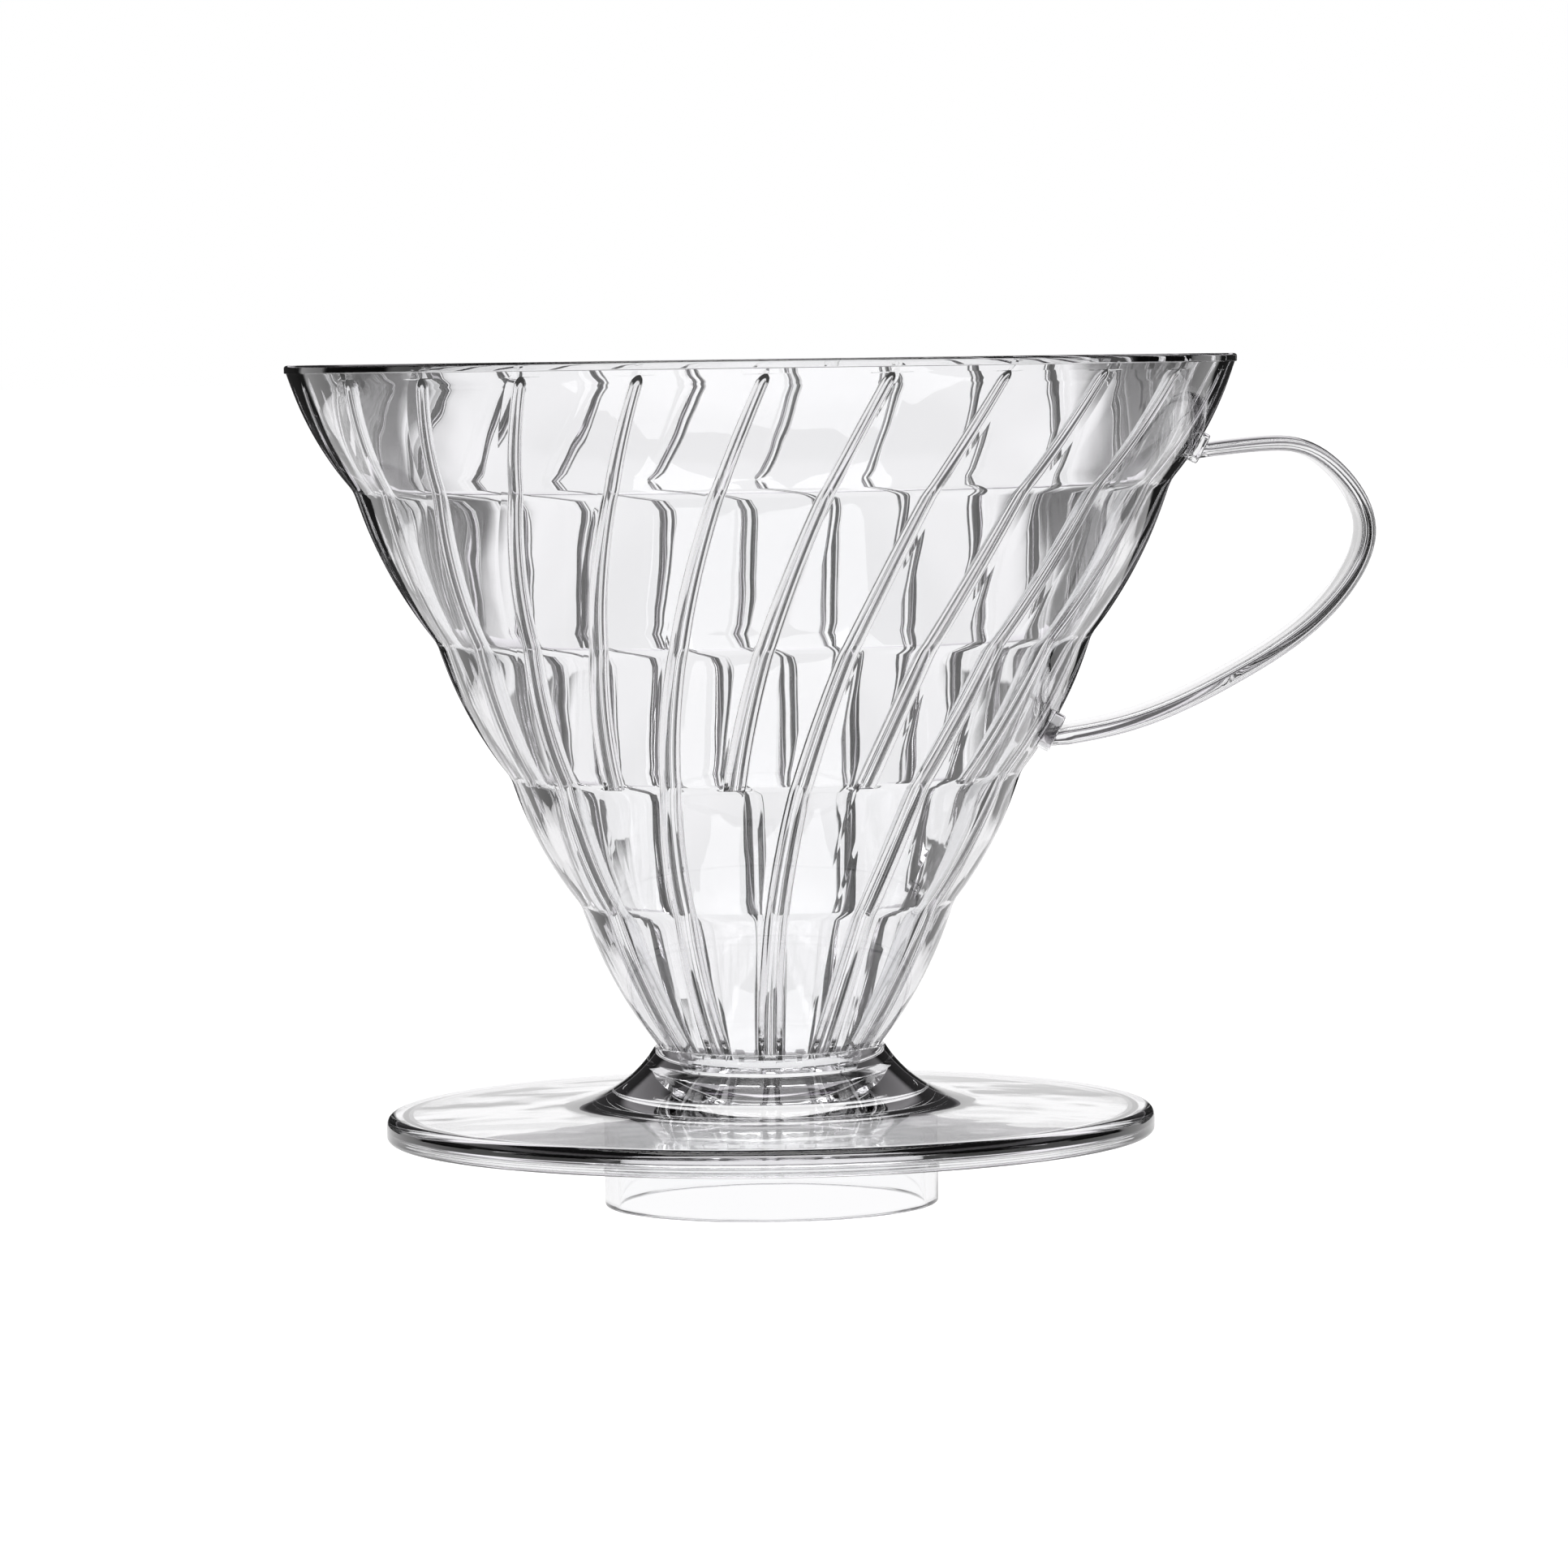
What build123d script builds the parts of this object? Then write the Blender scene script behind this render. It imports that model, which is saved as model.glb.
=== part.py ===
from build123d import *
import math
import os

# Clear plastic pour-over dripper, made of three mouldings. The cone carries its own
# spiral ribs, the strap handle is welded to the cone by two pads, and the base holds
# the cone's spigot in the socket of its neck.
#
# Frame: millimetres, +Z up, origin on the cone's axis at the foot of the locating ring.
# The handle points along +X. Depths are measured downwards from the rim.

# ---------------------------------------------------------------- driving dimensions
# Cone wall: straight inside, five barrel-shaped bands outside
rim_radius = 68.0
shoulder_radius = 16.0  # outside radius at the cone's foot, where it meets the neck
cone_depth = 98.3  # from the rim down to that shoulder
neck_height = 22.9  # from the foot of the locating ring up to the shoulder
wall_thickness = 2.2  # level thickness where two bands meet, the thinnest place
band_joint_shares = (0.184, 0.406, 0.604, 0.792)  # shares of the cone's depth
band_flat_share = 0.1  # top share of each band that is straight
band_lean = 9.0  # degrees by which that stretch is steeper than the cone
band_joint_fillet = 5.0  # the hollow between two bands
rim_lip_height = 1.2
rim_lip_overhang = 0.3
rim_fillet = 0.4

# Spiral ribs: every second one stops at the third band joint
long_rib_count = 12
short_rib_band = 2
rib_twist = 31.0  # degrees turned between rim and shoulder
rib_phase = 1.3  # degrees by which the first rib starts past the front
rib_top_depth = 1.6
rib_width_top = 1.5
rib_width_foot = 3.1  # most of the growth is near the top
rib_height_ratio = 0.65  # height over width
rib_root = 0.7  # how far a rib's root runs into the wall
rib_sections = 11

# Spigot and outlet at the cone's foot
spigot_step = 0.6  # how far the spigot stands inside the shoulder
spigot_length = 3.65
outlet_step = 0.66  # how far the outlet stands inside the end of the cone
outlet_land = 1.5
assembly_clearance = 0.05

# Base: flared neck, saucer plate and locating ring
neck_wall_top = 1.15
neck_wall_foot = 1.9
neck_flare_radius = 16.5
ledge_width = 1.4
ledge_thickness = 1.0
plate_radius = 55.2
plate_top_inner = 14.8  # height of the plate's top where the flare runs out
plate_top_fall = 1.1
plate_thickness = 2.2
plate_lip_height = 3.8
plate_lip_width = 3.2
plate_nose_fillet = 1.5
plate_lip_fillet = 0.8
ring_radius = 24.0
ring_wall = 2.0
ring_edge_fillet = 0.4

# Handle: a strap with a crowned back, run along its back edge as (depth, stand-off)
handle_points = (
    (13.3, 0.8),
    (12.4, 9.0),
    (12.75, 15.8),
    (16.6, 23.7),
    (25.0, 32.3),
    (34.5, 33.5),
    (46.4, 24.6),
    (53.3, 12.8),
    (56.1, -1.6),
)
handle_width = 17.0
handle_crown = 0.55
handle_thickness_top = 1.6
handle_thickness_foot = 2.4
handle_sections = 17
pad_width = 19.0
pad_stand_off = 1.95
pad_upper_depths = (11.7, 15.7)
pad_lower_depths = (51.3, 56.4)
pad_corner_radius = 1.2

# ---------------------------------------------------------------- derived places
cone_slope = (rim_radius - shoulder_radius) / cone_depth
rim_z = neck_height + cone_depth
shoulder_z = neck_height
spigot_foot_z = shoulder_z - spigot_length
rib_foot_depth = cone_depth + spigot_length - outlet_land
rib_foot_z = rim_z - rib_foot_depth
spigot_radius = shoulder_radius - spigot_step
joint_depths = [share * cone_depth for share in band_joint_shares]
same_place = 0.01  # a corner of a sketch is picked within this distance


def outer_radius(depth):
    """Radius of the straight cone on which the joints between the bands lie."""
    return rim_radius - cone_slope * depth


def inner_radius(depth):
    """Radius of the smooth inside face at a depth below the rim."""
    return outer_radius(depth) - wall_thickness


outlet_radius = inner_radius(rib_foot_depth) - outlet_step


def rib_heading(depth):
    """Direction of a rib at a depth: it turns steadily at first, then eases off."""
    share = depth / cone_depth
    return rib_phase - 90 - rib_twist * (4 * share - share**4) / 3


# ---------------------------------------------------------------- cone outline
def band_outline(shift):
    """Edges of the outside face from rim lip to shoulder, moved outwards by shift."""
    ends = [(rim_radius - rim_lip_overhang, rim_lip_height)]
    ends += [(outer_radius(depth), depth) for depth in joint_depths]
    ends += [(shoulder_radius, cone_depth)]
    lean = math.atan(cone_slope) - math.radians(band_lean)
    for (r_top, d_top), (r_foot, d_foot) in zip(ends, ends[1:]):
        drop = band_flat_share * (d_foot - d_top)
        top = (r_top + shift, rim_z - d_top)
        bend = (r_top + shift - drop * math.tan(lean), rim_z - d_top - drop)
        foot = (r_foot + shift, rim_z - d_foot)
        Line(top, bend)
        TangentArc(bend, foot, tangent=(-math.sin(lean), -math.cos(lean)))


def at(vertex, radius, height):
    """True for a corner of an upright sketch that lies at a radius and height."""
    return math.hypot(vertex.X - radius, vertex.Y - height) < same_place


def corners_at_height(sketch, height):
    """The corners of an upright sketch, whose own Y is the height, at one height."""
    return [vertex for vertex in sketch.vertices() if abs(vertex.Y - height) < same_place]


def joint_corners(sketch, shift):
    """The hollow corners of the outline, where two bands meet."""
    return [
        vertex
        for vertex in sketch.vertices()
        for depth in joint_depths
        if at(vertex, outer_radius(depth) + shift, rim_z - depth)
    ]


def band_envelope(shift):
    """Everything inside the banded outside face, which is moved outwards by shift."""
    lip_radius = rim_radius - rim_lip_overhang + shift
    with BuildPart(mode=Mode.PRIVATE) as envelope:
        with BuildSketch(Plane.XZ) as half:
            with BuildLine():
                Line((0, rim_z - rim_lip_height), (lip_radius, rim_z - rim_lip_height))
                band_outline(shift)
                Line((shoulder_radius + shift, shoulder_z), (0, shoulder_z))
                Line((0, shoulder_z), (0, rim_z - rim_lip_height))
            make_face()
            fillet(joint_corners(half, shift), band_joint_fillet)
        revolve(axis=Axis.Z)
    return envelope.part


# ---------------------------------------------------------------- ribs
def rib_section(depth):
    """A rib's level section: straight flanks and a half-round crest."""
    share = (depth - rib_top_depth) / (rib_foot_depth - rib_top_depth)
    width = rib_width_top + (rib_width_foot - rib_width_top) * share * (2 - share)
    root = inner_radius(depth) + rib_root
    spring = inner_radius(depth) - (rib_height_ratio - 0.5) * width
    heading = math.radians(rib_heading(depth))
    level = Plane(
        origin=(0, 0, rim_z - depth),
        x_dir=(math.cos(heading), math.sin(heading), 0),
        z_dir=(0, 0, 1),
    )
    with BuildSketch(level, mode=Mode.PRIVATE) as section:
        with BuildLine():
            Line((root, -width / 2), (root, width / 2))
            Line((root, width / 2), (spring, width / 2))
            ThreePointArc((spring, width / 2), (spring - width / 2, 0), (spring, -width / 2))
            Line((spring, -width / 2), (root, -width / 2))
        make_face()
    return section.sketch


def spiral_rib(foot_depth):
    """One rib from just under the rim down to foot_depth."""
    run = foot_depth - rib_top_depth
    depths = [rib_top_depth + run * i / (rib_sections - 1) for i in range(rib_sections)]
    with BuildPart(mode=Mode.PRIVATE) as rib:
        loft([rib_section(depth) for depth in depths])
    return rib.part


# ---------------------------------------------------------------- cone
with BuildPart() as cone:
    with BuildSketch(Plane.XZ) as wall:
        lip_foot_z = rim_z - rim_lip_height
        with BuildLine():
            Line((inner_radius(0), rim_z), (rim_radius, rim_z))
            Line((rim_radius, rim_z), (rim_radius, lip_foot_z))
            Line((rim_radius, lip_foot_z), (rim_radius - rim_lip_overhang, lip_foot_z))
            band_outline(0)
            Line((shoulder_radius, shoulder_z), (spigot_radius, shoulder_z))
            Line((spigot_radius, shoulder_z), (spigot_radius, spigot_foot_z))
            Line((spigot_radius, spigot_foot_z), (outlet_radius, spigot_foot_z))
            Line((outlet_radius, spigot_foot_z), (outlet_radius, rib_foot_z))
            Line((outlet_radius, rib_foot_z), (inner_radius(rib_foot_depth), rib_foot_z))
            Line((inner_radius(rib_foot_depth), rib_foot_z), (inner_radius(0), rim_z))
        make_face()
        fillet(joint_corners(wall, 0), band_joint_fillet)
        fillet(corners_at_height(wall, rim_z), rim_fillet)
    revolve(axis=Axis.Z)
    with PolarLocations(0, long_rib_count):
        add(spiral_rib(rib_foot_depth))
    with PolarLocations(0, long_rib_count, start_angle=180 / long_rib_count):
        add(spiral_rib(joint_depths[short_rib_band]))
cone.part.label = "cone"

# ---------------------------------------------------------------- handle
with BuildPart() as handle:
    with BuildLine(Plane.XZ) as back_edge:
        Spline(*[(outer_radius(depth) + out, rim_z - depth) for depth, out in handle_points])
    for i in range(handle_sections):
        share = i / (handle_sections - 1)
        thickness = handle_thickness_top + (handle_thickness_foot - handle_thickness_top) * share
        across = Plane(
            origin=back_edge.line @ share,
            x_dir=(0, 1, 0),
            z_dir=back_edge.line % share,
        )
        with BuildSketch(across):
            with BuildLine():
                half = handle_width / 2
                ThreePointArc((-half, 0), (0, handle_crown), (half, 0))
                Polyline((half, 0), (half, -thickness), (-half, -thickness), (-half, 0))
            make_face()
    loft()
    for d_top, d_foot in (pad_upper_depths, pad_lower_depths):
        d_middle = (d_top + d_foot) / 2
        pad_face = Plane(
            origin=(outer_radius(d_middle) + pad_stand_off, 0, rim_z - d_middle),
            x_dir=(0, 1, 0),
            z_dir=(1, 0, -cone_slope),
        )
        pad_length = (d_foot - d_top) * math.hypot(1, cone_slope)
        with BuildSketch(pad_face):
            RectangleRounded(pad_width, pad_length, pad_corner_radius)
        extrude(amount=-(pad_stand_off + wall_thickness))
    add(band_envelope(assembly_clearance), mode=Mode.SUBTRACT)
handle.part.label = "handle"

# ---------------------------------------------------------------- base
neck_top_radius = spigot_radius + neck_wall_top
neck_top_z = shoulder_z - assembly_clearance
socket_radius = spigot_radius + assembly_clearance
ledge_radius = socket_radius - ledge_width
ledge_z = spigot_foot_z - assembly_clearance
flare_rise = plate_top_inner + neck_flare_radius - neck_top_z
flare_foot_radius = neck_top_radius + math.sqrt(neck_flare_radius**2 - flare_rise**2)
plate_top_outer = plate_top_inner - plate_top_fall
lip_foot_z = plate_top_outer - plate_lip_height
lip_bore_radius = plate_radius - plate_lip_width
ring_bore_radius = ring_radius - ring_wall
flare_run = flare_foot_radius - min(ring_bore_radius, flare_foot_radius)
flare_drop = math.sqrt(neck_flare_radius**2 - flare_run**2)
ring_bore_depth = plate_top_inner + neck_flare_radius - flare_drop - neck_wall_foot

with BuildPart() as base:
    with BuildSketch(Plane.XZ) as profile:
        with BuildLine():
            Line((socket_radius, neck_top_z), (neck_top_radius, neck_top_z))
            TangentArc(
                (flare_foot_radius, plate_top_inner),
                (neck_top_radius, neck_top_z),
                tangent=(-1, 0),
            )
            Polyline(
                (flare_foot_radius, plate_top_inner),
                (plate_radius, plate_top_outer),
                (plate_radius, lip_foot_z),
                (lip_bore_radius, lip_foot_z),
                (lip_bore_radius, plate_top_outer - plate_thickness),
                (flare_foot_radius, plate_top_inner - plate_thickness),
                (ring_radius, plate_top_inner - plate_thickness),
                (ring_radius, 0),
                (ring_bore_radius, 0),
                (ring_bore_radius, ring_bore_depth),
                (ledge_radius, ledge_z - ledge_thickness),
                (ledge_radius, ledge_z),
                (socket_radius, ledge_z),
                (socket_radius, neck_top_z),
            )
        make_face()
        fillet(corners_at_height(profile, 0), ring_edge_fillet)
        fillet(corners_at_height(profile, lip_foot_z), plate_lip_fillet)
        nose = [v for v in profile.vertices() if at(v, plate_radius, plate_top_outer)]
        fillet(nose, plate_nose_fillet)
    revolve(axis=Axis.Z)
base.part.label = "base"

os.makedirs("parts", exist_ok=True)
for piece in (cone, handle, base):
    export_step(piece.part, f"parts/{piece.part.label}.step")
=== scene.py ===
# %% [markdown]
# # A clear plastic pour over dripper
# The dripper is three clear mouldings: a ribbed cone, a strap handle and a flared base. Clear plastic shows
# every wall twice, once in front and once behind, so its looks come from exact surfaces and from what stands
# round it in the studio. This lesson builds the three surfaces, finishes them and sets the light.
# The packed model comes first, because it fixes where everything goes.

# %% Load the frame
import math

import bpy
import numpy as np
from mathutils import Matrix, Vector


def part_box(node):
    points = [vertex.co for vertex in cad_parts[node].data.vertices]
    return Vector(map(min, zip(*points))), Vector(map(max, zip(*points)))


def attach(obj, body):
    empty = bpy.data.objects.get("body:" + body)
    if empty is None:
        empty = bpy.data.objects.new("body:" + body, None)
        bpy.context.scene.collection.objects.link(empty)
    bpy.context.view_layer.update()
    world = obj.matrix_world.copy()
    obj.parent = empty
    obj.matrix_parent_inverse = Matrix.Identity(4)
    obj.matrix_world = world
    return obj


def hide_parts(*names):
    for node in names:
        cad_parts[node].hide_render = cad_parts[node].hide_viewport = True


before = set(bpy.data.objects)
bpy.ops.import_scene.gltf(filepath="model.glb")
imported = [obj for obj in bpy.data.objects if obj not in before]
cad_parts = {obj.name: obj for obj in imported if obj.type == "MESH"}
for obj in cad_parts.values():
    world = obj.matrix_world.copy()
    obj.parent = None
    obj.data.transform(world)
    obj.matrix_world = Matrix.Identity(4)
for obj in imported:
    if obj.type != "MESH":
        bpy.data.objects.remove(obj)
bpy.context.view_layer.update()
MM = 0.001
print("CAD nodes:", sorted(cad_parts))

# %% [markdown]
# ## Sizes
# All lengths are millimetres until a mesh is written. The rim's height and radius come from the frame,
# because that is where the packed cone ends. The rest are the mouldings' own sizes. Depths are counted down
# from the rim, because that is how a cone is gauged.

# %% Name the sizes
rim_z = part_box("cone")[1].z / MM
rim_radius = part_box("cone")[1].y / MM
shoulder_radius = 16.0
cone_depth = 98.3
shoulder_z = rim_z - cone_depth
cone_slope = (rim_radius - shoulder_radius) / cone_depth
wall = 2.2
joint_shares = (0.184, 0.406, 0.604, 0.792)
joint_depths = [share * cone_depth for share in joint_shares]
spigot_radius, spigot_length = 15.4, 3.65
spigot_foot_z = shoulder_z - spigot_length
outlet_land = 1.5
rib_foot_depth = rim_z - spigot_foot_z - outlet_land
print(f"rim {rim_z:.1f} high, {2 * rim_radius:.1f} wide; slope {cone_slope:.4f}")


def outer_radius(depth):
    """Radius of the straight cone on which the joints between bands lie."""
    return rim_radius - cone_slope * depth


def inner_radius(depth):
    """Radius of the smooth inside face."""
    return outer_radius(depth) - wall


# %% [markdown]
# ## Profiles with honest corners
# No moulded corner is truly sharp, and clear plastic shows it: a corner with no radius has no bright line.
# A profile is written as corners with a radius each, and this helper turns every corner into a short arc.
# It is the same idea as a bevel modifier, but it keeps the rows of the mesh where we want them.

# %% Round the corners of a profile
def rounded(corners, steps=4, most_reach=0.48):
    """Points of a profile of (radius, height, corner radius), with an arc at every rounded corner.

    An arc takes at most the share most_reach of the side that it starts on."""
    points = []
    for i, (r, z, fillet) in enumerate(corners):
        here = np.array((r, z), float)
        if fillet == 0 or i in (0, len(corners) - 1):
            points.append(here)
            continue
        before = np.array(corners[i - 1][:2]) - here
        after = np.array(corners[i + 1][:2]) - here
        before_length, after_length = np.linalg.norm(before), np.linalg.norm(after)
        before, after = before / before_length, after / after_length
        half_angle = math.acos(max(-1.0, min(1.0, float(before @ after)))) / 2
        reach = min(fillet / math.tan(half_angle), most_reach * before_length, most_reach * after_length)
        centre = here + (before + after) / np.linalg.norm(before + after) * reach / math.cos(half_angle)
        start, end = here + before * reach - centre, here + after * reach - centre
        for step in range(steps + 1):
            mix = step / steps
            spoke = start * (1 - mix) + end * mix
            points.append(centre + spoke / np.linalg.norm(spoke) * np.linalg.norm(start))
    return np.array(points)


print("one rounded corner:", rounded([(0, 0, 0), (0, 10, 2), (10, 10, 0)], 2).round(1).tolist())

# %% [markdown]
# ## Meshes that light passes through
# Clear plastic bends light by its normals, so they matter more here than on a solid-coloured thing. Corners
# steeper than the given angle are marked sharp, and the rest shade smooth. Plain smooth shading would tilt a
# large flat face towards the small arc beside it, and the wall would show ghost lines. The Weighted Normal
# modifier lets the larger face decide, which keeps the wall flat right up to the corner.

# %% Turn points and faces into an object
def mesh_object(name, points, faces, sharp_angle=38):
    """An object from points in millimetres and faces, with its normals turned outwards."""
    points = np.asarray(points) * MM
    quads = np.array([face for face in faces if len(face) == 4])
    a, b, c, d = (points[quads[:, i]] for i in range(4))
    if ((a + c) * np.cross(c - a, d - b)).sum() < 0:
        faces = [face[::-1] for face in faces]
    mesh = bpy.data.meshes.new(name)
    mesh.from_pydata(points.tolist(), [], faces)
    mesh.shade_smooth()
    mesh.set_sharp_from_angle(angle=math.radians(sharp_angle))
    piece = bpy.data.objects.new(name, mesh)
    bpy.context.scene.collection.objects.link(piece)
    even = piece.modifiers.new("even_normals", "WEIGHTED_NORMAL")
    even.mode, even.keep_sharp = "FACE_AREA", True
    print(f"{name}: {len(mesh.vertices)} points, {len(mesh.polygons)} faces")
    return piece


# %% [markdown]
# ## Grids that close on themselves
# A moulding that is round and hollow is one grid that closes both ways, like a torus: round the axis, and
# down the inside and up the outside. The Screw modifier could sweep a plain profile, but not one whose
# columns follow the ribs, so both mouldings use one helper. Its long even quads bend light smoothly.

# %% Turn a grid into an object
def grid_object(name, grid):
    """An object from an array of rows, columns and xyz in millimetres, closed both ways."""
    rows, columns = grid.shape[:2]
    index = np.arange(rows * columns).reshape(rows, columns)
    below, beside = np.roll(index, -1, 0), np.roll(index, -1, 1)
    faces = np.stack([index, below, np.roll(below, -1, 1), beside], -1).reshape(-1, 4)
    return mesh_object(name, grid.reshape(-1, 3), faces.tolist())


def revolved(profile, columns):
    """The grid that a closed profile of (radius, height) sweeps round the axis."""
    turn = np.linspace(0, 2 * math.pi, columns, endpoint=False)
    r, z = profile[:, 0:1], profile[:, 1:2]
    return np.stack([r * np.cos(turn), r * np.sin(turn), np.repeat(z, columns, 1)], -1)


print("a swept pair of points:", revolved(np.array([(1.0, 0.0), (2.0, 0.0)]), 6).shape)

# %% [markdown]
# ## The cone's outside: five barrel bands
# Each band starts steeper than the cone and then bulges in an arc to the next joint. Where two bands meet,
# the mould leaves a soft hollow, and that hollow is the pale line that rings the cone. The arc is worked out
# from its two ends and the direction in which it starts, because those are what can be gauged on a moulding.

# %% Draw an arc from its start, its end and its heading
def tangent_arc(start, end, heading, steps):
    """Points of the arc that leaves start along heading and reaches end."""
    start, end, heading = np.array(start), np.array(end), np.array(heading) / np.linalg.norm(heading)
    chord = end - start
    normal = np.array((-heading[1], heading[0]))
    radius = (chord @ chord) / (2 * (chord @ normal))
    centre = start + normal * radius
    first, last = start - centre, end - centre
    sweep = math.atan2(first[0] * last[1] - first[1] * last[0], first @ last)
    turns = np.linspace(0, sweep, steps + 1)[:, None]
    return centre + first * np.cos(turns) + np.array((-first[1], first[0])) * np.sin(turns)


print("a quarter turn:", tangent_arc((1, 0), (0, 1), (0, 1), 2).round(2).tolist())

# %% Draw the bands
lip_corner, foot_corner = 0.06, 0.12


def band_profile(lip_radius, lip_depth, arc_steps=14, straight_share=0.1, lean=9.0, hollow=5.0):
    """Outside of the cone from the rim's lip down to the shoulder, as (radius, height, corner radius).

    A band starts lean degrees steeper than the cone, and hollow is the radius where two bands meet."""
    ends = [(lip_radius, lip_depth), *((outer_radius(d), d) for d in joint_depths)]
    ends.append((shoulder_radius, cone_depth))
    angle = math.atan(cone_slope) - math.radians(lean)
    corners = []
    for (r_top, d_top), (r_foot, d_foot) in zip(ends, ends[1:]):
        drop = straight_share * (d_foot - d_top)
        bend = (r_top - drop * math.tan(angle), rim_z - d_top - drop)
        corners.append((r_top, rim_z - d_top, hollow if corners else lip_corner))
        arc = tangent_arc(bend, (r_foot, rim_z - d_foot), (-math.sin(angle), -math.cos(angle)), arc_steps)
        keep = arc_steps - 1 if d_foot < cone_depth else arc_steps
        corners += [(r, z, 0) for r, z in arc[:keep]]
    return corners + [(shoulder_radius, shoulder_z, foot_corner)]


lip_depth, lip_overhang = 1.2, 0.3
bands = band_profile(rim_radius - lip_overhang, lip_depth)
print("band points:", len(bands))

# %% [markdown]
# ## The ribs
# The 24 ribs are part of the cone's moulding. They turn like a spiral, quickly under the rim and more slowly
# further down, and every second one stops at the third joint. Cutting them in with booleans would leave
# ragged edges, so the columns of the inside grid follow the ribs instead: each rib has its own columns, set
# closely across its half-round crest, and a rib is only a height added to them. Its ends are rounded, as a
# cutter leaves them in the mould.

# %% Say where a rib is and how big
rib_count = 24
rib_twist, rib_phase = 31.0, 1.3
rib_top_depth, short_rib_foot = 1.6, joint_depths[2]
rib_width_top, rib_width_foot, rib_height_ratio = 1.5, 3.1, 0.65
rib_top_length, short_end_length = 1.3, 0.5


def rib_turn(depth):
    """Degrees that the ribs have turned at a depth."""
    share = depth / cone_depth
    return rib_phase - 90 - rib_twist * (4 * share - share**4) / 3


def rib_width(depth):
    """A rib's width: it grows quickly at first, then eases off."""
    share = np.clip((depth - rib_top_depth) / (rib_foot_depth - rib_top_depth), 0, 1)
    return rib_width_top + (rib_width_foot - rib_width_top) * share * (2 - share)


def rib_rise(depth, foot, round_foot):
    """How full a rib is at a depth: 0 beyond its ends, 1 along its run, rounded at both ends."""
    start = np.clip((depth - rib_top_depth) / rib_top_length, 0, 1)
    end = np.clip((foot - depth) / round_foot, 0, 1)
    return np.sqrt(1 - (1 - start) ** 2) * np.sqrt(1 - (1 - end) ** 2)


print("turn at the shoulder:", round(rib_turn(cone_depth) - rib_turn(0), 1), "degrees")

# %% Lay out one rib's columns
crest_columns, root_fillet = 11, 0.2
crest_angles = np.radians(np.linspace(-90, 90, crest_columns))
fillet_sides, fillet_heights = np.array((0.3, 1.0)), np.array((0.3, 0.0))
past_the_outlet = 9
least_layout, closed_layout = 0.3, 0.5


def rib_columns(depth, short):
    """Across one rib pitch: sideways distances from the rib's centre, and the rib's height at each."""
    width = rib_width(depth)
    foot = short_rib_foot if short else rib_foot_depth + past_the_outlet
    rise = rib_rise(depth, foot, short_end_length)
    layout = width
    if short and depth > short_rib_foot:
        layout = np.interp(depth, (short_rib_foot, rib_foot_depth), (width, closed_layout))
    elif depth < rib_top_depth + rib_width_top:
        layout = width * max(rise, least_layout)
    side = layout / 2 * np.sin(crest_angles)
    spring = (rib_height_ratio - 0.5) * width
    crest = (spring + width / 2 * np.cos(crest_angles)) * rise
    foot_side = layout / 2 + root_fillet * fillet_sides * min(1.0, layout / width)
    foot_height = root_fillet * fillet_heights * rise
    sides = np.concatenate([-foot_side[::-1], side, foot_side])
    return sides, np.concatenate([foot_height[::-1], crest, foot_height])


print("rib half way down, mm high:", round(float(rib_columns(cone_depth / 2, False)[1].max()), 2))

# %% Go once round the inside
def inside_row(depth, land_columns=4):
    """Angles and radii of one level row of the inside, with its ribs."""
    radius = inner_radius(depth)
    pitch = 2 * math.pi / rib_count
    angles, radii = [], []
    for k in range(rib_count):
        sides, heights = rib_columns(depth, k % 2 == 1)
        next_sides, _ = rib_columns(depth, k % 2 == 0)
        centre = math.radians(rib_turn(depth)) + k * pitch
        rib_angles = centre + sides / radius
        far = centre + pitch + next_sides[0] / radius
        land = np.linspace(rib_angles[-1], far, land_columns + 2)[1:-1]
        angles += [rib_angles, land]
        radii += [radius - heights, np.full(land_columns, radius)]
    return np.concatenate(angles), np.concatenate(radii)


print("columns round the cone:", len(inside_row(50.0)[0]))

# %% [markdown]
# ## The whole cone
# The rows run down the inside, round the outlet and the spigot, up the bands and over the rim. Rows crowd
# together where a rib starts or stops, because its rounded end is only a millimetre long. The rows below and
# outside the ribs are plain circles, and they take their angles from the nearest inside row, so that every
# column is one unbroken line.

# %% Choose the rows down the inside
outlet_step = 0.66
outlet_radius = inner_radius(rib_foot_depth) - outlet_step
rim_fillet, lip_fillet, outlet_fillet, spigot_fillet = 0.4, 0.15, 0.15, 0.2
rim_rows = (0.6, 0.9)
run_top, run_gap, low_gap, hair = 3.2, 1.0, 0.3, 0.02
start_rows, run_rows, end_rows, low_rows = 7, 40, 5, 32
fine_top = rib_top_depth + rib_top_length * (1 - np.cos(np.radians(np.linspace(0, 90, start_rows))))
fine_end = short_rib_foot - short_end_length * (1 - np.sin(np.radians(np.linspace(0, 90, end_rows))))
inside_depths = np.concatenate([
    rim_rows[1:], fine_top - hair, np.linspace(run_top, short_rib_foot - run_gap, run_rows), fine_end,
    np.linspace(short_rib_foot + low_gap, rib_foot_depth, low_rows),
])
print("rows down the inside:", len(inside_depths))

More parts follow.
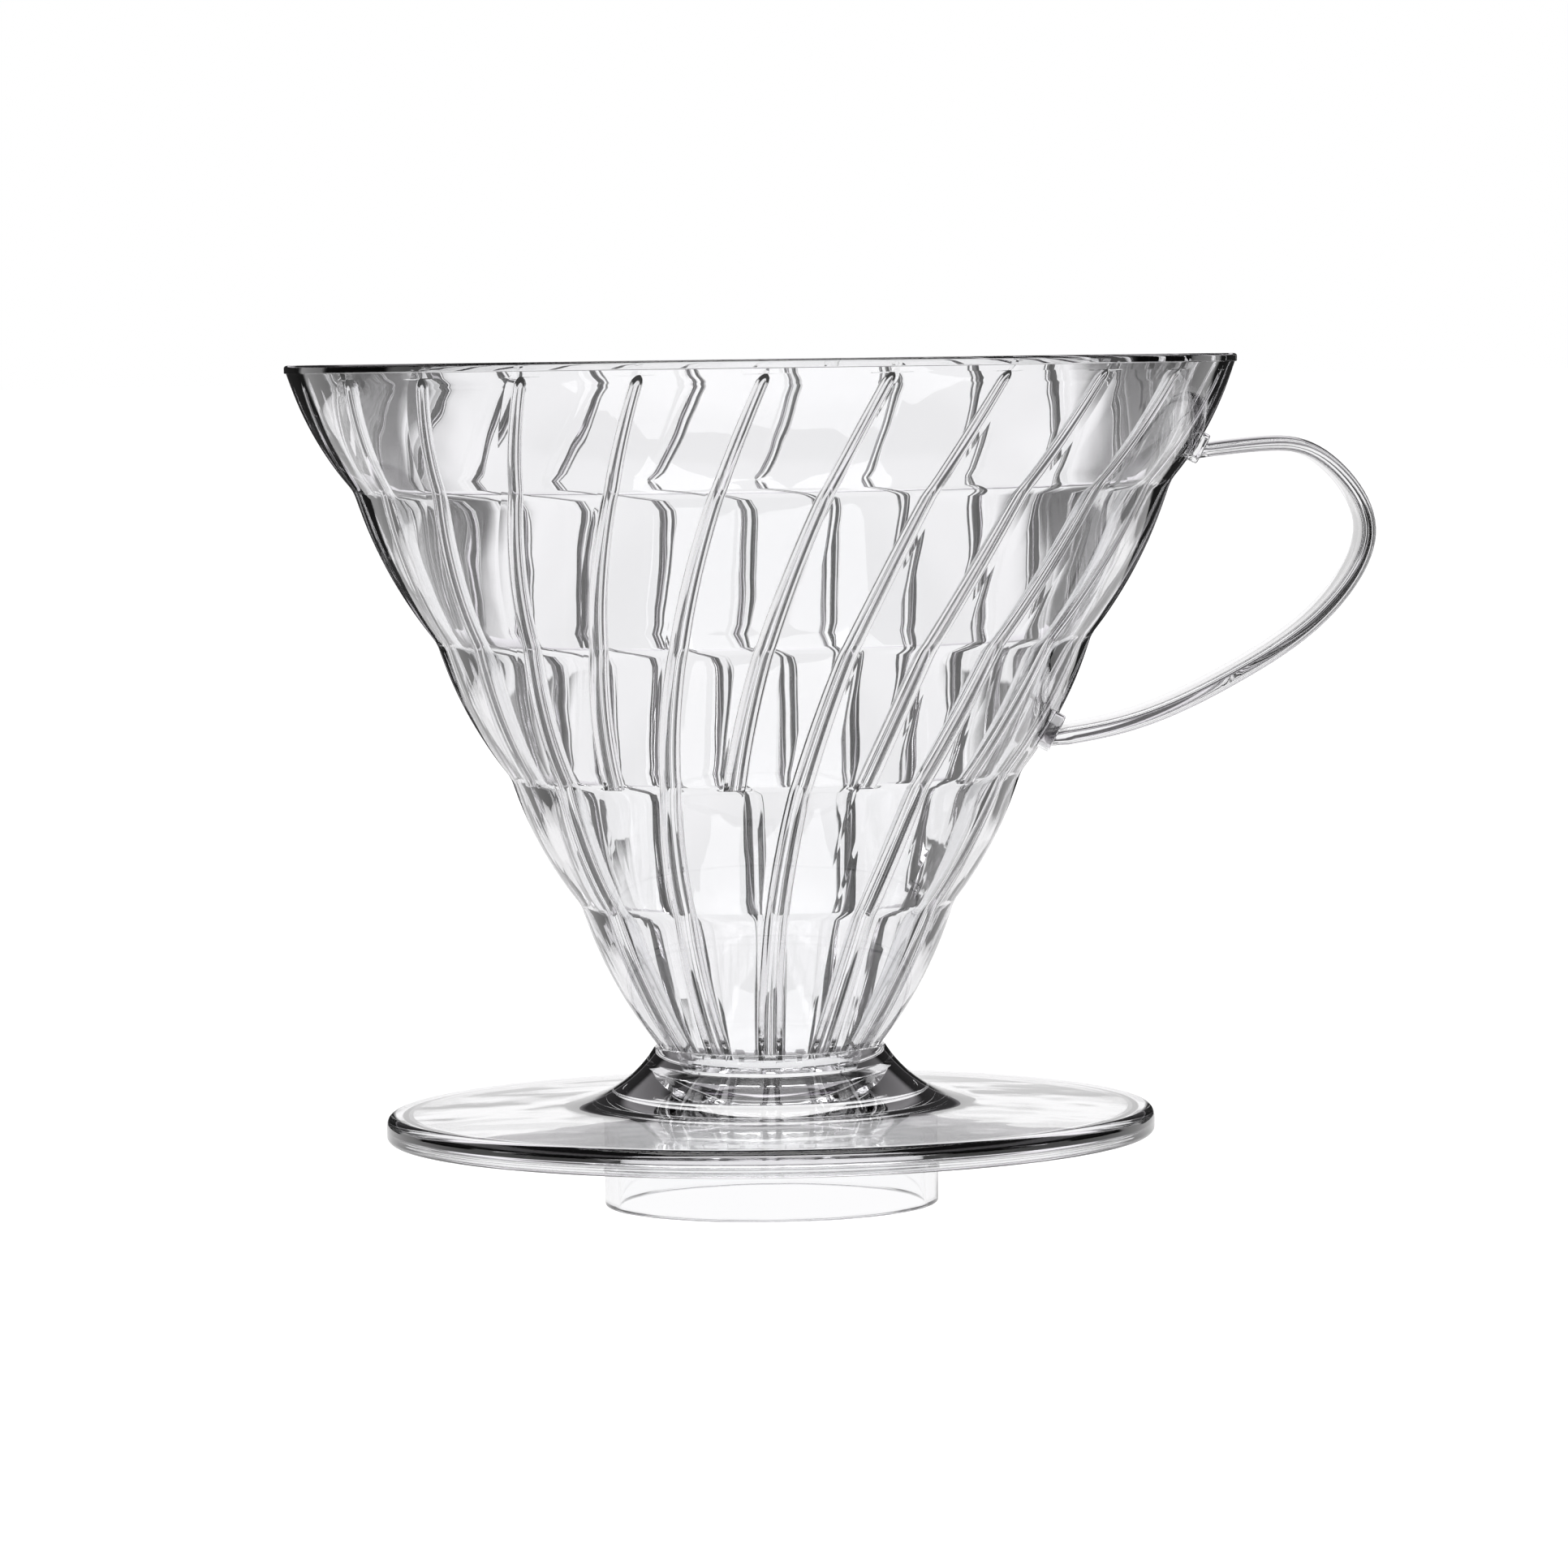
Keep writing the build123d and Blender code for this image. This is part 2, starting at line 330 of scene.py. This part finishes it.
# %% Go round the outlet, the outside and the rim
round_the_outside = rounded([
    (inner_radius(rib_foot_depth), rim_z - rib_foot_depth, 0),
    (outlet_radius, rim_z - rib_foot_depth, outlet_fillet),
    (outlet_radius, spigot_foot_z, spigot_fillet),
    (spigot_radius, spigot_foot_z, spigot_fillet),
    (spigot_radius, shoulder_z, foot_corner),
    *reversed(bands),
    (rim_radius, rim_z - lip_depth, lip_fillet),
    (rim_radius, rim_z, rim_fillet),
    (inner_radius(0), rim_z, rim_fillet),
    (inner_radius(rim_rows[0]), rim_z - rim_rows[0], 0),
], steps=3)[1:]
print("rows round the outside:", len(round_the_outside))


# %% Build the cone
def cone_grid():
    """All the cone's rows as one grid."""
    rows = []
    for depth in inside_depths:
        angles, radii = inside_row(depth)
        rows.append(np.stack([radii * np.cos(angles), radii * np.sin(angles),
                              np.full_like(radii, rim_z - depth)], -1))
    for r, z in round_the_outside:
        angles, _ = inside_row(min(rim_z - z, rib_foot_depth))
        rows.append(np.stack([r * np.cos(angles), r * np.sin(angles), np.full_like(angles, z)], -1))
    return np.array(rows)


cone = grid_object("cone_moulding", cone_grid())

# %% [markdown]
# ## The base
# The base is one moulding: a neck that flares into a saucer plate, a lip turned down at the plate's edge,
# and a ring below that drops into a mug or a server. It is a plain turned shape, so it is one profile swept
# round the axis. Its neck takes the cone's spigot with a hair of clearance, which is where the two would be
# welded or glued, and the clear wall shows that joint as a narrow band of broken light.

# %% Name the base's sizes
clearance, neck_wall = 0.05, 1.15
socket_radius, neck_radius = spigot_radius + clearance, spigot_radius + neck_wall
neck_z, ledge_z = shoulder_z - clearance, spigot_foot_z - clearance
ledge_width, ledge_thickness = 1.4, 1
ledge_radius = socket_radius - ledge_width
plate_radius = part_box("base")[1].x / MM
plate_inner_z, plate_outer_z, plate_thickness = 14.8, 13.7, 2.2
lip_foot_z, lip_thickness = 9.9, 3.2
lip_bore = plate_radius - lip_thickness
ring_radius, ring_bore, ring_top_z = 24.0, 22.0, 15.4
print(f"plate {2 * plate_radius:.1f} wide, ring {2 * ring_radius:.1f} wide")

# %% Draw the flare of the neck, outside and inside
flare_radius, dome_heading = 16.5, (-0.9, 0.12)
flare_rise = plate_inner_z + flare_radius - neck_z
flare_foot = neck_radius + math.sqrt(flare_radius**2 - flare_rise**2)
flare = tangent_arc((flare_foot, plate_inner_z), (neck_radius, neck_z), (-1, 0), 20)[::-1]
dome = tangent_arc((ring_bore, ring_top_z), (ledge_radius, ledge_z - ledge_thickness), dome_heading, 8)
print("the flare meets the plate at radius", round(flare_foot, 2))

# %% Build the base
mouth_fillet, neck_fillet, edge_fillet, lip_edge_fillet = 0.08, 0.2, 1.5, 0.8
ring_root_fillet, ring_edge_fillet, dome_fillet = 0.6, 0.4, 0.5
ledge_edge_fillet, ledge_fillet = 0.15, 0.1
base_columns = 288
base_profile = rounded([
    (socket_radius, (neck_z + ledge_z) / 2, 0),
    (socket_radius, neck_z, mouth_fillet),
    (neck_radius, neck_z, neck_fillet),
    *((r, z, 0) for r, z in flare[1:]),
    (plate_radius, plate_outer_z, edge_fillet),
    (plate_radius, lip_foot_z, lip_edge_fillet),
    (lip_bore, lip_foot_z, lip_edge_fillet),
    (lip_bore, plate_outer_z - plate_thickness, lip_edge_fillet),
    (flare_foot, plate_inner_z - plate_thickness, 0),
    (ring_radius, plate_inner_z - plate_thickness, ring_root_fillet),
    (ring_radius, 0, ring_edge_fillet),
    (ring_bore, 0, ring_edge_fillet),
    *((r, z, dome_fillet if i == 0 else 0) for i, (r, z) in enumerate(dome)),
    (ledge_radius, ledge_z, ledge_edge_fillet),
    (socket_radius, ledge_z, ledge_fillet),
], steps=4)
base = grid_object("base_moulding", revolved(base_profile, base_columns))

# %% [markdown]
# ## The handle
# The handle is a strap about as wide as a finger, with a slightly crowned back, bent into a loop between two
# pads. The pads are shaped to the cone's wall and welded to it. A curve with a bevel could make the strap,
# but not its changing thickness or the way it grows out of the pads, so the handle is a stack of rings with
# the same number of points each: pad against the wall, pad face, strap, and the same again at the foot.

# %% Run a smooth line through the handle's points
# The points lie on the strap's back, each as a depth and a distance out from the cone's wall.
handle_points = ((13.3, 0.8), (12.4, 9.0), (12.75, 15.8), (16.6, 23.7), (25.0, 32.3), (34.5, 33.5),
                 (46.4, 24.6), (53.3, 12.8), (56.1, -1.6))
back_steps = 90


def smooth_line(knots, count):
    """A natural cubic spline through the knots, as evenly spaced points and their directions."""
    knots = np.array(knots, float)
    at = np.concatenate([[0], np.cumsum(np.linalg.norm(np.diff(knots, axis=0), axis=1))])
    gap = np.diff(at)
    n = len(knots)
    system, right = np.eye(n), np.zeros_like(knots)
    for i in range(1, n - 1):
        system[i, i - 1:i + 2] = gap[i - 1], 2 * (gap[i - 1] + gap[i]), gap[i]
        right[i] = 6 * ((knots[i + 1] - knots[i]) / gap[i] - (knots[i] - knots[i - 1]) / gap[i - 1])
    bend = np.linalg.solve(system, right)
    where = np.linspace(0, at[-1], count)
    i = np.clip(np.searchsorted(at, where, side="right") - 1, 0, n - 2)
    h, left, rest = gap[i][:, None], (at[i + 1] - where)[:, None], (where - at[i])[:, None]
    points = (bend[i] * left**3 + bend[i + 1] * rest**3) / (6 * h)
    points += (knots[i] / h - bend[i] * h / 6) * left + (knots[i + 1] / h - bend[i + 1] * h / 6) * rest
    directions = np.gradient(points, axis=0)
    return points, directions / np.linalg.norm(directions, axis=1)[:, None]


back_line, back_heading = smooth_line(
    [(outer_radius(d) + out, rim_z - d) for d, out in handle_points], back_steps)
print("handle reaches", round(back_line[:, 0].max(), 2), "mm from the axis")

# %% Draw a ring of the strap or of a pad
strap_width, strap_crown, strap_corner = 17.0, 0.44, 0.78
pad_width, pad_corner = 19.0, 1.2
crown_edge, crown_points = 0.86, 11
crown_shares = np.linspace(crown_edge, -crown_edge, crown_points)


def ring(width, low, high, crown, corner):
    """A closed outline of sideways and outward distances, flat inside and crowned outside."""
    half = width / 2
    crowned = [(half * share, high + crown * (1 - share**2), 0) for share in crown_shares]
    return rounded([(0, low, 0), (half, low, corner), (half, high, corner), *crowned,
                    (-half, high, corner), (-half, low, corner), (-half / 2, low, 0)], steps=3)


print("points round the strap:", len(ring(strap_width, -2, 0, strap_crown, strap_corner)))

# %% Press the pads onto the wall
wall_profile = rounded(bands, steps=3)
wall_order = np.argsort(wall_profile[:, 1])
press_rounds, press_share = 25, 0.9
upper_pad_depths, lower_pad_depths = (11.7, 15.7), (51.3, 56.4)


def onto_wall(points, normal):
    """Moves points along the pad's normal until they lie on the cone's banded wall."""
    points = points.copy()
    for _ in range(press_rounds):
        reach = np.interp(points[:, 2], wall_profile[wall_order, 1], wall_profile[wall_order, 0]) + clearance
        short = np.hypot(points[:, 0], points[:, 1]) - reach
        points -= short[:, None] * normal * press_share
    return points


pad_height = rim_z - sum(upper_pad_depths) / 2
print("wall radius at the upper pad:", round(float(np.interp(
    pad_height, wall_profile[wall_order, 1], wall_profile[wall_order, 0])), 2))

# %% Shape a pad
pad_stand_off, pad_edge, pad_ease, strap_root = 1.95, 0.25, 0.07, 0.06
cap_shares = (0.04, 0.35, 0.7, 1.0)


def pad_rings(d_top, d_foot, root, heading):
    """Rings from the middle of the pad's weld face out to where the strap leaves the pad."""
    normal = np.array((1, 0, -cone_slope)) / math.hypot(1, cone_slope)
    up = np.array((cone_slope, 0, 1)) / math.hypot(1, cone_slope)
    middle = (d_top + d_foot) / 2
    centre = np.array((outer_radius(middle) + pad_stand_off, 0, rim_z - middle))
    length = (d_foot - d_top) * math.hypot(1, cone_slope)

    def on_face(shrink, back=0.0):
        outline = ring(pad_width - 2 * shrink, shrink - length / 2, length / 2 - shrink, 0, pad_corner)
        return centre + np.outer(outline[:, 0], (0, 1, 0)) + np.outer(outline[:, 1], up) - normal * back

    face = on_face(0.0)
    cap = [onto_wall(centre + (face - centre) * share, normal) for share in cap_shares]
    travel = ((centre - root) @ normal) / (heading @ normal)
    foot = root + np.outer(travel, heading)
    inset = on_face(pad_edge)
    return cap + [on_face(0.0, pad_edge), on_face(pad_ease, pad_ease), inset,
                  foot * (1 - strap_root) + inset * strap_root]


print("a pad is", pad_width, "mm wide and stands", pad_stand_off, "mm off the wall's line")

# %% Lay the strap's rings along its back
thickness_top, thickness_growth = 1.6, 0.8


def strap_ring(i):
    """The strap's ring at one point of the back line."""
    share = i / (len(back_line) - 1)
    thickness = thickness_top + thickness_growth * share
    outline = ring(strap_width, -thickness, 0, strap_crown, strap_corner)
    heading = np.array((back_heading[i][0], 0, back_heading[i][1]))
    outward = np.array((-heading[2], 0, heading[0]))
    place = np.array((back_line[i][0], 0, back_line[i][1]))
    return place + np.outer(outline[:, 0], (0, 1, 0)) + np.outer(outline[:, 1], outward), heading


strap_clear = 0.7
root_ring, face_ring = 4, 4


def handle_rings():
    """Every ring of the handle, from the upper weld to the lower one."""
    rings = [strap_ring(i) for i in range(len(back_line))]
    last_root, last_heading = rings[-1 - root_ring]
    upper = pad_rings(*upper_pad_depths, *rings[root_ring])
    lower = pad_rings(*lower_pad_depths, last_root, -last_heading)
    normal = np.array((1, 0, -cone_slope)) / math.hypot(1, cone_slope)
    faces = [pad[face_ring].mean(0) for pad in (upper, lower)]
    clear = [r for r, _ in rings if all(((r - face) @ normal).min() > strap_clear for face in faces)]
    return np.array(upper + clear + lower[::-1])


print("rings along the handle:", len(handle_rings()))


# %% Build the handle
def handle_object():
    """The handle as one closed skin over its rings, with a small face over each end."""
    rings = handle_rings()
    rows, columns = rings.shape[:2]
    index = np.arange(rows * columns).reshape(rows, columns)
    beside = np.roll(index, -1, 1)
    faces = np.stack([index[:-1], index[1:], beside[1:], beside[:-1]], -1).reshape(-1, 4).tolist()
    return mesh_object("handle_moulding", rings.reshape(-1, 3),
                       faces + [index[0].tolist(), index[-1][::-1].tolist()])


handle = handle_object()

# %% [markdown]
# ## Tie the pieces to the frame
# Nothing on this dripper moves, so all three pieces ride on the one body. Each takes the place of its CAD
# node, which stays behind it for collision.

# %% Say what each piece stands for
for piece, node in ((cone, "cone"), (base, "base"), (handle, "handle")):
    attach(piece, "root")
    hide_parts(node)
    print(piece.name, "stands for", node)

# %% [markdown]
# ## Clear plastic
# Styrene plastic is clearer than it looks. What gives it away is small: a faint cool tint, waves where the
# melt flowed into the mould, and fine rub marks from washing and stacking. The waves and the marks are one
# node group, because the three mouldings share them in different strengths. The refraction itself is a plain
# Principled BSDF with full transmission.

# %% A helper for sums in a node tree
def maths(tree, operation, *values):
    """The output of a new Math node, which is fed with numbers or other outputs."""
    node = tree.nodes.new("ShaderNodeMath")
    node.operation = operation
    for socket, value in zip(node.inputs, values):
        if isinstance(value, (int, float)):
            socket.default_value = value
        else:
            tree.links.new(value, socket)
    return node.outputs[0]


print("helper:", maths.__doc__)

# %% Flow waves and tint
wave_detail, wave_falloff = 1.5, 0.4
cool_tint, clear_tint = (0.978, 0.985, 0.990, 1), (0.992, 0.994, 0.996, 1)


def add_waves(group, place, given, put):
    """Slow waves in the surface, and a tint that changes with them."""
    waves = group.nodes.new("ShaderNodeTexNoise")
    waves.inputs["Detail"].default_value = wave_detail
    waves.inputs["Roughness"].default_value = wave_falloff
    group.links.new(place.outputs["Object"], waves.inputs["Vector"])
    group.links.new(given.outputs["Wave Size"], waves.inputs["Scale"])
    height = maths(group, "MULTIPLY", waves.outputs["Fac"], given.outputs["Wave Height"])
    group.links.new(height, put.inputs["Height"])
    tint = group.nodes.new("ShaderNodeMix")
    tint.data_type = "RGBA"
    tint.inputs["A"].default_value, tint.inputs["B"].default_value = cool_tint, clear_tint
    group.links.new(waves.outputs["Fac"], tint.inputs["Factor"])
    group.links.new(tint.outputs["Result"], put.inputs["Tint"])


print("tints:", cool_tint[:3], clear_tint[:3])

# %% Rub marks
rub_scale, rub_stretch, rub_slant = 900.0, (1.0, 1.0, 0.12), (0.5, 0.3, 0.8)
rub_low, rub_high, rub_roughness, patch_scale = 0.52, 0.75, 0.06, 45.0


def add_rub_marks(group, place, given, put):
    """Fine slanted scratches in patches, which make the surface a little rougher."""
    stretch = group.nodes.new("ShaderNodeMapping")
    stretch.inputs["Scale"].default_value = rub_stretch
    stretch.inputs["Rotation"].default_value = rub_slant
    group.links.new(place.outputs["Object"], stretch.inputs["Vector"])
    rubs = group.nodes.new("ShaderNodeTexNoise")
    rubs.inputs["Scale"].default_value = rub_scale
    rubs.inputs["Detail"].default_value = 3.0
    group.links.new(stretch.outputs[0], rubs.inputs["Vector"])
    patches = group.nodes.new("ShaderNodeTexNoise")
    patches.inputs["Scale"].default_value = patch_scale
    group.links.new(place.outputs["Object"], patches.inputs["Vector"])
    fine = group.nodes.new("ShaderNodeMapRange")
    fine.inputs["From Min"].default_value, fine.inputs["From Max"].default_value = rub_low, rub_high
    fine.inputs["To Max"].default_value = rub_roughness
    group.links.new(rubs.outputs["Fac"], fine.inputs["Value"])
    where = maths(group, "MULTIPLY", fine.outputs[0], patches.outputs["Fac"])
    much = maths(group, "MULTIPLY_ADD", where, given.outputs["Rub Marks"], given.outputs["Polish"])
    group.links.new(much, put.inputs["Roughness"])


print("rub marks add at most", rub_roughness, "to the roughness")

# %% The group of flow waves and rub marks
def surface_group():
    """A node group that puts out a height, a roughness and a tint for moulded clear plastic."""
    group = bpy.data.node_groups.new("mould_marks", "ShaderNodeTree")
    for name, value in (("Wave Size", 60.0), ("Wave Height", 1.0), ("Rub Marks", 0.5), ("Polish", 0.02)):
        group.interface.new_socket(name, in_out="INPUT", socket_type="NodeSocketFloat").default_value = value
    for name, kind in (("Height", "Float"), ("Roughness", "Float"), ("Tint", "Color")):
        group.interface.new_socket(name, in_out="OUTPUT", socket_type="NodeSocket" + kind)
    given, put = group.nodes.new("NodeGroupInput"), group.nodes.new("NodeGroupOutput")
    place = group.nodes.new("ShaderNodeTexCoord")
    add_waves(group, place, given, put)
    add_rub_marks(group, place, given, put)
    return group


mould_marks = surface_group()
print("group outputs:", [s.name for s in mould_marks.interface.items_tree if s.in_out == "OUTPUT"])

# %% [markdown]
# ## The plastic itself
# Thick plastic takes up a little light, so a volume shader dims the long paths through walls seen edge-on.
# Shadow rays skip the refraction and pass straight through a slightly grey sheet, because clear plastic
# throws hardly any shadow in a light room and a path tracer finds that light only slowly.

# %% A clear plastic for each moulding
plastic_ior, wave_relief = 1.57, 0.0001
shadow_colour, depth_colour = (0.96, 0.965, 0.97, 1), (0.60, 0.575, 0.61, 1)


def clear_plastic(name, wave_size, wave_height, rub_marks, polish, density):
    """Clear moulded plastic, with the marks at this moulding's own strength."""
    material = bpy.data.materials.new(name)
    material.use_nodes = True
    nodes, links = material.node_tree.nodes, material.node_tree.links
    shader, output = nodes["Principled BSDF"], nodes["Material Output"]
    shader.inputs["Transmission Weight"].default_value = 1.0
    shader.inputs["IOR"].default_value = plastic_ior
    marks = nodes.new("ShaderNodeGroup")
    marks.node_tree = mould_marks
    for socket, value in (("Wave Size", wave_size), ("Wave Height", wave_height),
                          ("Rub Marks", rub_marks), ("Polish", polish)):
        marks.inputs[socket].default_value = value
    bump = nodes.new("ShaderNodeBump")
    bump.inputs["Distance"].default_value = wave_relief
    links.new(marks.outputs["Height"], bump.inputs["Height"])
    links.new(bump.outputs["Normal"], shader.inputs["Normal"])
    links.new(marks.outputs["Roughness"], shader.inputs["Roughness"])
    links.new(marks.outputs["Tint"], shader.inputs["Base Color"])

    ray = nodes.new("ShaderNodeLightPath")
    passing = nodes.new("ShaderNodeBsdfTransparent")
    passing.inputs["Color"].default_value = shadow_colour
    either = nodes.new("ShaderNodeMixShader")
    links.new(ray.outputs["Is Shadow Ray"], either.inputs["Fac"])
    links.new(shader.outputs["BSDF"], either.inputs[1])
    links.new(passing.outputs["BSDF"], either.inputs[2])
    links.new(either.outputs["Shader"], output.inputs["Surface"])

    depth = nodes.new("ShaderNodeVolumeAbsorption")
    depth.inputs["Color"].default_value = depth_colour
    depth.inputs["Density"].default_value = density
    links.new(depth.outputs["Volume"], output.inputs["Volume"])
    return material


print("refractive index", plastic_ior, "and wave relief", wave_relief / MM, "mm")

# %% Finish the three mouldings
for piece, finish in (
    (cone, ("clear_cone_plastic", 55.0, 1.0, 0.5, 0.01, 30.0)),
    (base, ("clear_base_plastic", 70.0, 0.8, 0.5, 0.01, 14.0)),
    (handle, ("clear_handle_plastic", 60.0, 0.3, 0.3, 0.01, 6.0)),
):
    piece.data.materials.append(clear_plastic(*finish))
    print(piece.name, "is finished in", finish[0])

# %% [markdown]
# ## The studio
# Clear things are lit by their background. A bright ground makes the walls bright, and dark stripes beside it
# draw the edges: each rib and each corner bends a little of a stripe into view. Here a round light tent
# stands about the dripper. Its wall and floor have eight bright and eight dark stripes, with a plain bright
# patch under the dripper, and the sky over it has level dark rings, so upright and level edges both get a
# line from every side. Only bent and mirrored light meets the tent and the rings. The camera sees a plain
# white room.

# %% Helpers for the stage
def stage_object(name, points, faces):
    """A plain stage mesh in metres."""
    mesh = bpy.data.meshes.new(name)
    mesh.from_pydata(points, [], faces)
    piece = bpy.data.objects.new(name, mesh)
    bpy.context.scene.collection.objects.link(piece)
    return piece


def circle(radius, height, count=96):
    """Points round a level circle."""
    turns = np.linspace(0, 2 * math.pi, count, endpoint=False)
    return [(radius * math.cos(t), radius * math.sin(t), height) for t in turns]


print("a circle of 4:", [tuple(round(v, 1) for v in point) for point in circle(1.0, 0.0, 4)])

# %% The floor
floor_radius, floor_height, circle_count = 40.0, -0.0006, 96
floor = stage_object("pale_floor", circle(floor_radius, floor_height), [list(range(circle_count))])
floor_paint = bpy.data.materials.new("lit_pale_floor")
floor_paint.use_nodes = True
floor_shader = floor_paint.node_tree.nodes["Principled BSDF"]
floor_shader.inputs["Base Color"].default_value = (0.5, 0.5, 0.5, 1)
floor_shader.inputs["Roughness"].default_value = 0.9
floor_shader.inputs["Specular IOR Level"].default_value = 0.0
floor_shader.inputs["Emission Color"].default_value = (1, 1, 1, 1)
floor_shader.inputs["Emission Strength"].default_value = 0.9
floor.data.materials.append(floor_paint)
print("floor radius", floor_radius, "m")

# %% The light tent
tent_radius, tent_foot, tent_height = 1.6, -0.0003, 0.3
wall_faces = [[i, (i + 1) % circle_count, (i + 1) % circle_count + circle_count, i + circle_count]
              for i in range(circle_count)]
tent = stage_object("light_tent", circle(tent_radius, tent_foot) + circle(tent_radius, tent_height),
                    [list(range(circle_count))] + wall_faces)
tent.visible_camera = tent.visible_shadow = tent.visible_diffuse = False
print("tent", tent_radius, "m in radius and", tent_height, "m high")


# %% The striped cloth
fade_share, full_light = 1.6, 2.0


def striped_light(name, stripes, bright, dark, edge_low, edge_high, clear_radius):
    """A glowing cloth with upright stripes round the axis, plain within a radius of the middle."""
    material = bpy.data.materials.new(name)
    material.use_nodes = True
    nodes, links = material.node_tree.nodes, material.node_tree.links
    nodes.clear()
    place = nodes.new("ShaderNodeTexCoord")
    split = nodes.new("ShaderNodeSeparateXYZ")
    links.new(place.outputs["Object"], split.inputs[0])
    turn = maths(material.node_tree, "ARCTAN2", split.outputs["Y"], split.outputs["X"])
    wave = maths(material.node_tree, "COSINE", maths(material.node_tree, "MULTIPLY", turn, stripes))
    reach = nodes.new("ShaderNodeVectorMath")
    reach.operation = "LENGTH"
    links.new(place.outputs["Object"], reach.inputs[0])
    middle = nodes.new("ShaderNodeMapRange")
    middle.inputs["From Min"].default_value = clear_radius
    middle.inputs["From Max"].default_value = clear_radius * fade_share
    middle.inputs["To Min"].default_value, middle.inputs["To Max"].default_value = full_light, 0.0
    links.new(reach.outputs["Value"], middle.inputs["Value"])
    shade = nodes.new("ShaderNodeMapRange")
    shade.interpolation_type = "SMOOTHSTEP"
    shade.inputs["From Min"].default_value, shade.inputs["From Max"].default_value = edge_low, edge_high
    shade.inputs["To Min"].default_value, shade.inputs["To Max"].default_value = dark, bright
    links.new(maths(material.node_tree, "ADD", wave, middle.outputs[0]), shade.inputs["Value"])
    glow = nodes.new("ShaderNodeEmission")
    glow.inputs["Color"].default_value = (1, 0.995, 1, 1)
    links.new(shade.outputs[0], glow.inputs["Strength"])
    output = nodes.new("ShaderNodeOutputMaterial")
    links.new(glow.outputs[0], output.inputs["Surface"])
    return material


tent.data.materials.append(striped_light(
    "striped_tent_cloth", stripes=8, bright=1.0, dark=0.03, edge_low=0.2, edge_high=0.65, clear_radius=0.35))
print("tent cloth:", len(tent.data.materials[0].node_tree.nodes), "nodes")

# %% The room
ring_pitch, ring_shift, ring_edge = 12.0, 1.11, 0.5
dark_sky, bright_sky = 0.08, 1.0
world = bpy.data.worlds.new("studio")
bpy.context.scene.world = world
world.use_nodes = True
room, room_links = world.node_tree.nodes, world.node_tree.links
seen, unseen = room["Background"], room.new("ShaderNodeBackground")
seen.inputs["Color"].default_value = (1, 1, 1, 1)
unseen.inputs["Color"].default_value = (0.985, 0.955, 1, 1)
heading, split = room.new("ShaderNodeTexCoord"), room.new("ShaderNodeSeparateXYZ")
room_links.new(heading.outputs["Generated"], split.inputs[0])
rings = room.new("ShaderNodeMapRange")
rings.interpolation_type = "SMOOTHSTEP"
turns = maths(world.node_tree, "MULTIPLY_ADD", split.outputs["Z"], ring_pitch, ring_shift)
rings.inputs["From Min"].default_value, rings.inputs["From Max"].default_value = -ring_edge, ring_edge
rings.inputs["To Min"].default_value, rings.inputs["To Max"].default_value = dark_sky, bright_sky
room_links.new(maths(world.node_tree, "SINE", turns), rings.inputs["Value"])
room_links.new(rings.outputs[0], unseen.inputs["Strength"])
ray_kind, room_mix = room.new("ShaderNodeLightPath"), room.new("ShaderNodeMixShader")
room_links.new(ray_kind.outputs["Is Camera Ray"], room_mix.inputs["Fac"])
room_links.new(unseen.outputs[0], room_mix.inputs[1])
room_links.new(seen.outputs[0], room_mix.inputs[2])
room_links.new(room_mix.outputs[0], room["World Output"].inputs["Surface"])
print("room:", len(room), "nodes")

# %% The lamp
lamp_height, lamp_size, lamp_power = 1.4, 1.2, 12


def soft_box(name, place, aim, size, power):
    """A square lamp that faces a point."""
    lamp = bpy.data.lights.new(name, "AREA")
    lamp.shape, lamp.size, lamp.energy = "SQUARE", size, power
    piece = bpy.data.objects.new(name, lamp)
    piece.location = place
    piece.rotation_euler = (Vector(aim) - Vector(place)).to_track_quat("-Z", "Y").to_euler()
    bpy.context.scene.collection.objects.link(piece)
    return piece


soft_box("top_box", (0, 0, lamp_height), (0, 0, 0), lamp_size, lamp_power)
bpy.context.scene.view_settings.view_transform = "Standard"
print("lamp", lamp_height, "m up,", lamp_size, "m wide")

# %% [markdown]
# ## The camera
# A long lens from a metre away, level with the rim and tipped down a little, with the handle square to it.
# From there the rim closes to a line, and the plate and the ring open to flat ovals. A roll of under a degree
# keeps the look of a thing set down by hand.

# %% Place the camera
camera_distance, camera_pitch, camera_roll, camera_yaw = 0.990, 3.52, 0.78, 0.148
camera = bpy.data.objects.new("camera", bpy.data.cameras.new("camera"))
lens_length = 158.7
camera.data.lens = lens_length
camera.location = (0, -camera_distance, rim_z * MM)
camera.rotation_euler = (
    Matrix.Rotation(math.radians(-camera_yaw), 3, "Z")
    @ Matrix.Rotation(math.radians(90 - camera_pitch), 3, "X")
    @ Matrix.Rotation(math.radians(-camera_roll), 3, "Z")
).to_euler()
camera.data.clip_end = 50
bpy.context.scene.collection.objects.link(camera)
bpy.context.scene.camera = camera
print(f"camera {camera_distance} m away with a {lens_length} mm lens")

# %% [markdown]
